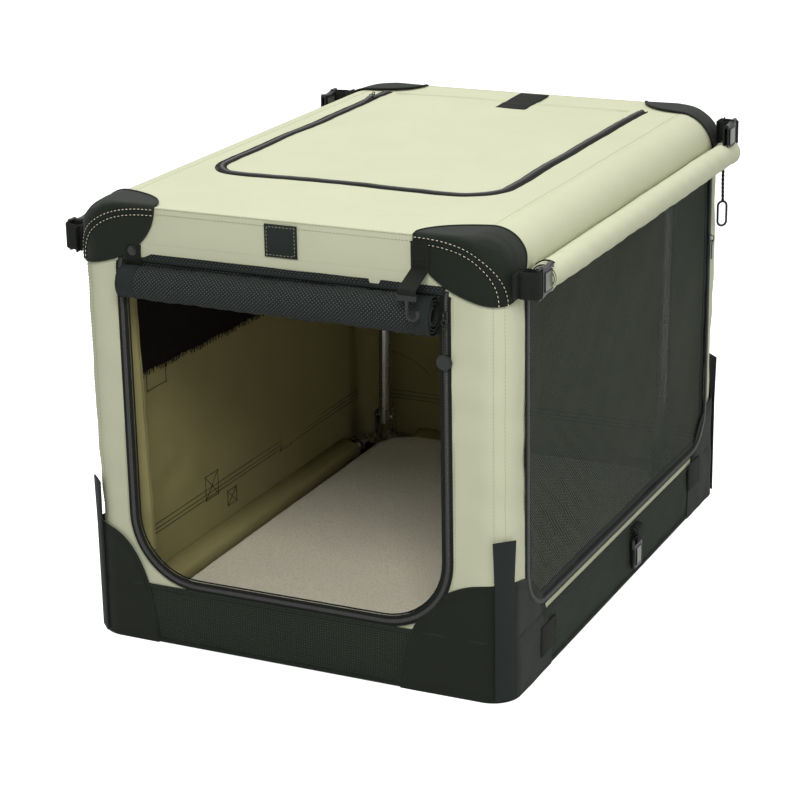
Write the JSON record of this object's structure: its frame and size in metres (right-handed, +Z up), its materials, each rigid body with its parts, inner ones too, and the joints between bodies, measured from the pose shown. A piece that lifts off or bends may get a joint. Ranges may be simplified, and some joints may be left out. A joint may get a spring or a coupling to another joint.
{
  "type": "soft folding dog crate",
  "caption": "Soft folding dog crate: canvas and mesh cover over a hinged steel tube frame, rolled front door, mesh side door, roof hatch and fleece mat.",
  "frame": {"origin": "centre of the flat underside", "axes": "+X to the side with the mesh door, +Y from the front door to the rear, +Z up"},
  "size_m": [0.6776, 0.8666, 0.5995],
  "materials": {
    "canvas": "coated woven polyester canvas, pale sage",
    "dark_cloth": "coarse ripstop weave, charcoal",
    "mesh_cloth": "black polyester mesh",
    "fleece": "cream short-pile fleece",
    "steel_tube": "zinc-plated thin tube",
    "zinc_steel": "zinc-plated pressed steel",
    "black_plastic": "moulded acetal, satin black",
    "webbing": "black woven webbing and coil zip tape",
    "black_metal": "black lacquered zinc alloy"
  },
  "bodies": {
    "base_and_walls": {"base_frame": "steel_tube", "hinge_bracket_front_left": "zinc_steel", "hinge_bracket_front_right": "zinc_steel", "hinge_bracket_rear_left": "zinc_steel", "hinge_bracket_rear_right": "zinc_steel", "hinge_rivet_front_left": "zinc_steel", "hinge_rivet_front_right": "zinc_steel", "hinge_rivet_rear_left": "zinc_steel", "hinge_rivet_rear_right": "zinc_steel", "floor_panel": "dark_cloth", "mat": "fleece", "lower_band": "dark_cloth", "corner_patch_front_left": "dark_cloth", "corner_patch_front_right": "dark_cloth", "corner_patch_rear_left": "dark_cloth", "corner_patch_rear_right": "dark_cloth", "front_panel": "canvas", "rear_panel": "canvas", "left_panel": "canvas", "right_panel": "canvas", "left_window_mesh": "mesh_cloth", "left_window_cover": "canvas", "side_mesh_door": "mesh_cloth", "front_zip": "webbing", "side_zip": "webbing", "low_buckle_strap": "webbing"},
    "top": {"top_frame": "steel_tube", "frame_clip_front_left": "black_plastic", "frame_clip_front_right": "black_plastic", "frame_clip_rear_left": "black_plastic", "frame_clip_rear_right": "black_plastic", "top_panel": "canvas", "top_zip": "webbing", "top_cap_front_left": "dark_cloth", "top_cap_front_right": "dark_cloth", "top_cap_rear_left": "dark_cloth", "top_cap_rear_right": "dark_cloth", "corner_strap_front_left": "webbing", "corner_strap_front_right": "webbing", "corner_strap_rear_left": "webbing", "corner_strap_rear_right": "webbing", "front_door_roll": "mesh_cloth", "side_cover_roll": "canvas", "keeper_strap": "webbing"},
    "front_hoop": {"front_hoop": "steel_tube"},
    "rear_hoop": {"rear_hoop": "steel_tube"},
    "hatch": {"top_hatch": "canvas"},
    "hatch_slider": {"hatch_zip_slider": "black_metal"},
    "hatch_pull": {"hatch_zip_pull": "black_metal"},
    "front_slider": {"front_zip_slider": "black_metal"},
    "front_pull": {"front_zip_pull": "black_plastic"},
    "side_slider": {"side_zip_slider": "black_metal"},
    "side_pull": {"side_zip_pull": "black_metal"},
    "snap_hook": {"keeper_snap_hook": "black_plastic"},
    "side_hook": {"side_hook": "black_plastic"},
    "low_buckle": {"low_side_buckle": "black_plastic"},
    "buckle_front_left": {"corner_buckle_front_left": "black_plastic"},
    "buckle_front_right": {"corner_buckle_front_right": "black_plastic"},
    "buckle_rear_left": {"corner_buckle_rear_left": "black_plastic"},
    "buckle_rear_right": {"corner_buckle_rear_right": "black_plastic"}
  },
  "joints": [
    {"name": "top_lower", "type": "slide", "parent": "base_and_walls", "child": "top", "axis": [0, 0, -1], "range_m": [0, 0.38], "deforming": ["front_panel", "rear_panel", "left_panel", "right_panel", "left_window_mesh", "left_window_cover", "side_mesh_door", "front_zip", "side_zip", "front_door_roll", "side_cover_roll", "top_panel", "top_zip", "top_hatch", "top_cap_front_left", "top_cap_front_right", "top_cap_rear_left", "top_cap_rear_right"]},
    {"name": "front_hoop_fold", "type": "hinge", "parent": "base_and_walls", "child": "front_hoop", "pos_m": [0, -0.345, 0.07], "axis": [-1, 0, 0], "range_deg": [0, 84.5]},
    {"name": "rear_hoop_fold", "type": "hinge", "parent": "base_and_walls", "child": "rear_hoop", "pos_m": [0, 0.345, 0.07], "axis": [1, 0, 0], "range_deg": [0, 90.5]},
    {"name": "hatch_open", "type": "hinge", "parent": "top", "child": "hatch", "pos_m": [0, 0.352, 0.59], "axis": [-1, 0, 0], "range_deg": [0, 170]},
    {"name": "hatch_slider_run", "type": "slide", "parent": "top", "child": "hatch_slider", "axis": [0, -1, 0], "range_m": [0, 0.44]},
    {"name": "hatch_pull_swing", "type": "hinge", "parent": "hatch_slider", "child": "hatch_pull", "pos_m": [-0.216, 0.2956, 0.5964], "axis": [-1, 0, 0], "range_deg": [0, 140]},
    {"name": "front_slider_follow", "type": "slide", "parent": "base_and_walls", "child": "front_slider", "axis": [0, 0, -1], "range_m": [0, 0.3285]},
    {"name": "front_pull_swing", "type": "hinge", "parent": "front_slider", "child": "front_pull", "pos_m": [0.217, -0.4164, 0.4916], "axis": [-1, 0, 0], "range_deg": [-2, 150]},
    {"name": "side_slider_follow", "type": "slide", "parent": "base_and_walls", "child": "side_slider", "axis": [0, 0, -1], "range_m": [0, 0.262]},
    {"name": "side_pull_swing", "type": "hinge", "parent": "side_slider", "child": "side_pull", "pos_m": [0.3014, 0.35, 0.4076], "axis": [0, -1, 0], "range_deg": [-5, 150]},
    {"name": "snap_hook_swivel", "type": "hinge", "parent": "top", "child": "snap_hook", "pos_m": [0.186, -0.4525, 0.5282], "axis": [0, 0, 1], "range_deg": [-100, 8]},
    {"name": "side_hook_swing", "type": "hinge", "parent": "top", "child": "side_hook", "pos_m": [0.31, 0.366, 0.50633], "axis": [1, 0, 0], "range_deg": [-4, 30]},
    {"name": "low_buckle_swing", "type": "hinge", "parent": "base_and_walls", "child": "low_buckle", "pos_m": [0.3013, 0.04, 0.058], "axis": [0, -1, 0], "range_deg": [0, 95]},
    {"name": "buckle_front_left_swing", "type": "hinge", "parent": "top", "child": "buckle_front_left", "pos_m": [-0.3211, -0.38, 0.535], "axis": [0, 0, 1], "range_deg": [-10, 100]},
    {"name": "buckle_front_right_swing", "type": "hinge", "parent": "top", "child": "buckle_front_right", "pos_m": [0.3211, -0.38, 0.535], "axis": [0, 0, -1], "range_deg": [-10, 100]},
    {"name": "buckle_rear_left_swing", "type": "hinge", "parent": "top", "child": "buckle_rear_left", "pos_m": [-0.3211, 0.38, 0.5625], "axis": [0, 0, -1], "range_deg": [-10, 100]},
    {"name": "buckle_rear_right_swing", "type": "hinge", "parent": "top", "child": "buckle_rear_right", "pos_m": [0.3211, 0.38, 0.5625], "axis": [0, 0, 1], "range_deg": [-10, 100]}
  ],
  "couplings": [
    {"joint": "front_hoop_fold", "follows": "top_lower", "rad_per_m": 3.8581},
    {"joint": "rear_hoop_fold", "follows": "top_lower", "rad_per_m": 4.1337},
    {"joint": "front_slider_follow", "follows": "top_lower", "ratio": 0.8624},
    {"joint": "side_slider_follow", "follows": "top_lower", "ratio": 0.6873}
  ]
}
